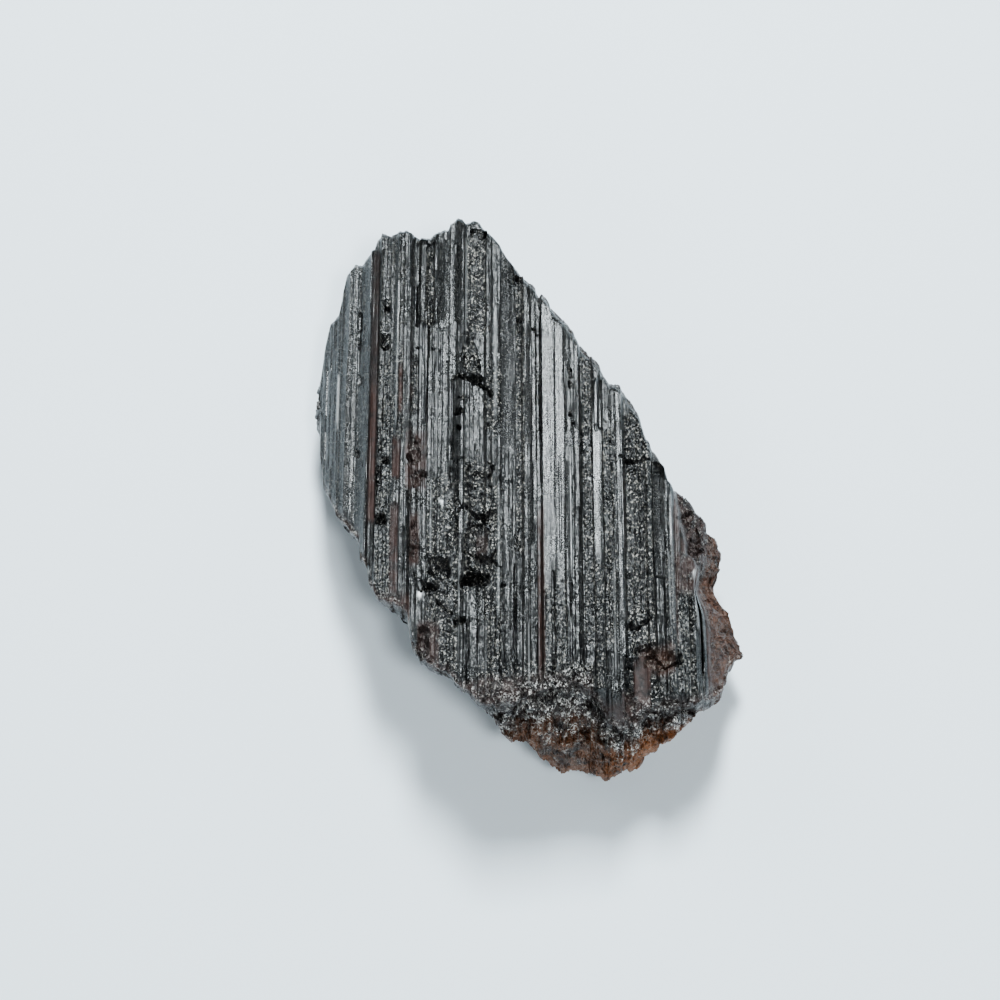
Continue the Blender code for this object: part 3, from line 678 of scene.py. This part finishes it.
def stone_colour(n, place, streaky, grains, marks):
    """Near black stone under dust, brown stains (on the walls partly a painted warm reflection) and ochre
    earth, with painted shade in the hollows, painted glints as specks and bright grains, and white grains.
    """
    lightness = n.add("ShaderNodeSeparateColor", {"Color": grains}, output="Green")
    dark = n.mix(n.between(n.noise(streaky, 3.0, 6.0, 0.65), 0.35, 0.7), BLACK, BLACK_STREAK)
    dust = n.times(marks["grit"], n.between(n.noise(place, 4.5, 3.0, 0.7), 0.52, 0.75))
    # Painted glints: pale specks on the grainy parts, fewer on the walls
    painted_specks = n.times(n.between(marks["grit"], 0.0, 1.0, 0.12, 0.9), n.between(lightness, 0.8, 0.97))
    painted_specks = n.times(painted_specks, n.between(marks["wall"], 0.0, 1.0, 1.0, 0.3))
    colour = n.mix(painted_specks, n.mix(dust, dark, DUST), PAINTED_SPECK_COLOUR)
    brown = n.mix(n.noise(place, 1.1), DEEP_BROWN, LIGHT_BROWN)
    # Brown stains; on the walls partly a painted warm reflection
    stain_and_warm_reflection = n.times(marks["stain_and_warm_reflection"], n.between(n.noise(place, 0.9, 5.0, 0.6), 0.3, 0.52))
    colour = n.mix(stain_and_warm_reflection, colour, brown)
    earth = n.times(marks["ochre"], n.between(n.noise(place, 0.7, 5.0, 0.65), 0.34, 0.52))
    colour = n.mix(earth, colour, EARTH)
    # Painted shade: darker in the hollows and cracks
    colour = n.mix(n.times(marks["depth"], 0.25), colour, PAINTED_HOLLOW_SHADE)
    # Painted glints: bright grains in patches where the painted glint share is high
    clusters = n.between(n.noise(place, 1.1, 3.0, 0.6), 0.43, 0.54)
    painted_glints = n.times(n.times(marks["painted_glint"], clusters), n.between(lightness, 0.55, 0.85))
    colour = n.mix(painted_glints, colour, PAINTED_GLINT_COLOUR)
    return n.mix(marks["fleck"], colour, WHITE_GRAIN)


def stone_roughness(n, place, marks):
    rough = n.between(n.noise(place, 0.35), 0.3, 0.7, 0.24, 0.34)
    rough = n.math("SUBTRACT", rough, n.times(marks["polish"], 0.04))
    return n.math("ADD", rough, n.times(marks["stain_and_warm_reflection"], 0.28), clamp=True)


def stone_normal(n, place, streaky, grains, marks):
    """Leans each grain, splinter and lump its own way, over fine lines and pits."""
    grit, polish = marks["grit"], marks["polish"]
    splinters = n.grains(n.scaled(place, (1, SPLINTER_STRETCH, 1)), GRAINS)
    gate = n.between(n.noise(place, 1.3, 4.0, 0.7), 0.4, 0.6, 0.25, 1.0)
    rougher = n.math("SUBTRACT", n.between(grit, 0.0, 1.0, 0.55, 2.2), n.times(polish, 0.58))
    lumpy = n.lean(n.grains(place, LUMPS), n.times(marks["wall"], 0.9))
    grainy = n.vector("ADD", n.lean(grains, n.times(gate, rougher)), lumpy)
    splintery = n.lean(splinters, n.between(polish, 0.0, 1.0, 0.25, 0.06))
    tilted = n.vector("ADD", n.add("ShaderNodeNewGeometry", output="Normal"), grainy)
    tilted = n.vector("NORMALIZE", n.vector("ADD", tilted, splintery))
    lines = n.noise(n.scaled(place, (1, LINE_STRETCH, 1)), GRAINS, 3.0, 0.7)
    fine = n.times(lines, n.between(grit, 0.0, 1.0, 1.0, 0.4))
    fine = n.times(fine, n.between(polish, 0.75, 1.0, 1.0, 0.5))
    short = n.times(n.noise(streaky, 4.0, 4.0, 0.7), n.between(polish, 0.0, 1.0, 0.4, 0.1))
    pitted = n.times(n.noise(place, 5.0, 4.0, 0.75), n.between(grit, 0.0, 1.0, 0.5, 1.8))
    heights = n.math("ADD", n.math("ADD", fine, short), pitted)
    inputs = {"Strength": 1.0, "Distance": BUMP_HEIGHT * MM, "Height": heights, "Normal": tilted}
    return n.add("ShaderNodeBump", inputs)


def crystal_material(finish):
    n = Nodes("black_tourmaline")
    place = n.scaled(n.add("ShaderNodeTexCoord", output="Object"), (1 / MM, 1 / MM, 1 / MM))
    streaky = n.scaled(place, (1, STREAK_STRETCH, 1))
    grains = n.grains(place, GRAINS)
    marks = {name: n.attribute(name) for name in finish}
    n.put(n.shader.inputs["Base Color"], stone_colour(n, place, streaky, grains, marks))
    n.put(n.shader.inputs["Roughness"], stone_roughness(n, place, marks))
    n.put(n.shader.inputs["Normal"], stone_normal(n, place, streaky, grains, marks))
    n.shader.inputs["IOR"].default_value = IOR
    return n.material


def crystal():
    mesh = bpy.data.meshes.new("crystal")
    shape = block()
    shape.to_mesh(mesh)
    shape.free()
    places = np.empty(len(mesh.vertices) * 3)
    mesh.vertices.foreach_get("co", places)
    points, finish = stone(*places.reshape(-1, 3).T)
    points = points - np.array((*MIDDLE, 0))[:, None]
    mesh.vertices.foreach_set("co", (points * MM).T.ravel())
    for name, values in finish.items():
        mesh.attributes.new(name, "FLOAT", "POINT").data.foreach_set("value", values)
    piece = bpy.data.objects.new("crystal", mesh)
    bpy.context.scene.collection.objects.link(piece)
    thin = piece.modifiers.new("fewer faces", "DECIMATE")
    thin.ratio = TRIANGLES / (2 * len(mesh.polygons))
    thinned = bpy.data.meshes.new_from_object(piece.evaluated_get(bpy.context.evaluated_depsgraph_get()))
    piece.modifiers.clear()
    piece.data = thinned
    thinned.materials.append(crystal_material(finish))
    thinned.shade_smooth()
    thinned.set_sharp_from_angle(angle=SHARP_ANGLE)
    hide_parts(NODE)
    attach(piece, "root")


def floor():
    n = Nodes("pale_floor")
    n.shader.inputs["Base Color"].default_value = FLOOR_COLOUR
    n.shader.inputs["Roughness"].default_value = 0.7
    mesh = bpy.data.meshes.new("floor")
    shape = bmesh.new()
    bmesh.ops.create_grid(shape, x_segments=1, y_segments=1, size=FLOOR_SIZE)
    shape.to_mesh(mesh)
    shape.free()
    mesh.materials.append(n.material)
    piece = bpy.data.objects.new("floor", mesh)
    bpy.context.scene.collection.objects.link(piece)


def aimed(thing, place, target):
    bpy.context.scene.collection.objects.link(thing)
    thing.location = place
    thing.rotation_euler = (Vector(target) - Vector(place)).to_track_quat("-Z", "Y").to_euler()
    return thing


def soft_light(name, place, width, length, power):
    lamp = bpy.data.lights.new(name, "AREA")
    lamp.shape = "RECTANGLE"
    lamp.size, lamp.size_y = width * MM, length * MM
    lamp.energy = power
    lamp.color = LIGHT_COLOUR
    aimed(bpy.data.objects.new(name, lamp), Vector(place) * MM, Vector(TARGET) * MM)


def room():
    """A pale room, brighter overhead than low down."""
    world = bpy.data.worlds.new("pale_room")
    world.use_nodes = True
    tree = world.node_tree
    direction = tree.nodes.new("ShaderNodeTexCoord")
    parts = tree.nodes.new("ShaderNodeSeparateXYZ")
    height = tree.nodes.new("ShaderNodeMapRange")
    tree.links.new(direction.outputs["Generated"], parts.inputs["Vector"])
    tree.links.new(parts.outputs["Z"], height.inputs["Value"])
    height.inputs["From Min"].default_value = ROOM_LOW_VIEW
    height.inputs["From Max"].default_value = ROOM_HIGH_VIEW
    height.inputs["To Min"].default_value, height.inputs["To Max"].default_value = ROOM_LOW, ROOM_HIGH
    background = tree.nodes["Background"]
    background.inputs["Color"].default_value = ROOM_COLOUR
    tree.links.new(height.outputs["Result"], background.inputs["Strength"])
    bpy.context.scene.world = world


def studio():
    room()
    for light in LIGHTS:
        soft_light(*light)
    bpy.context.scene.view_settings.look = LOOK
    camera = bpy.data.cameras.new("camera")
    camera.sensor_width, camera.lens = SENSOR, LENS
    camera.clip_start = NEAREST_SEEN * MM
    back = Vector((0, -math.cos(ELEVATION), math.sin(ELEVATION))) * DISTANCE
    target = Vector(TARGET)
    holder = bpy.data.objects.new("camera", camera)
    bpy.context.scene.camera = aimed(holder, (target + back) * MM, target * MM)


crystal()
floor()
studio()
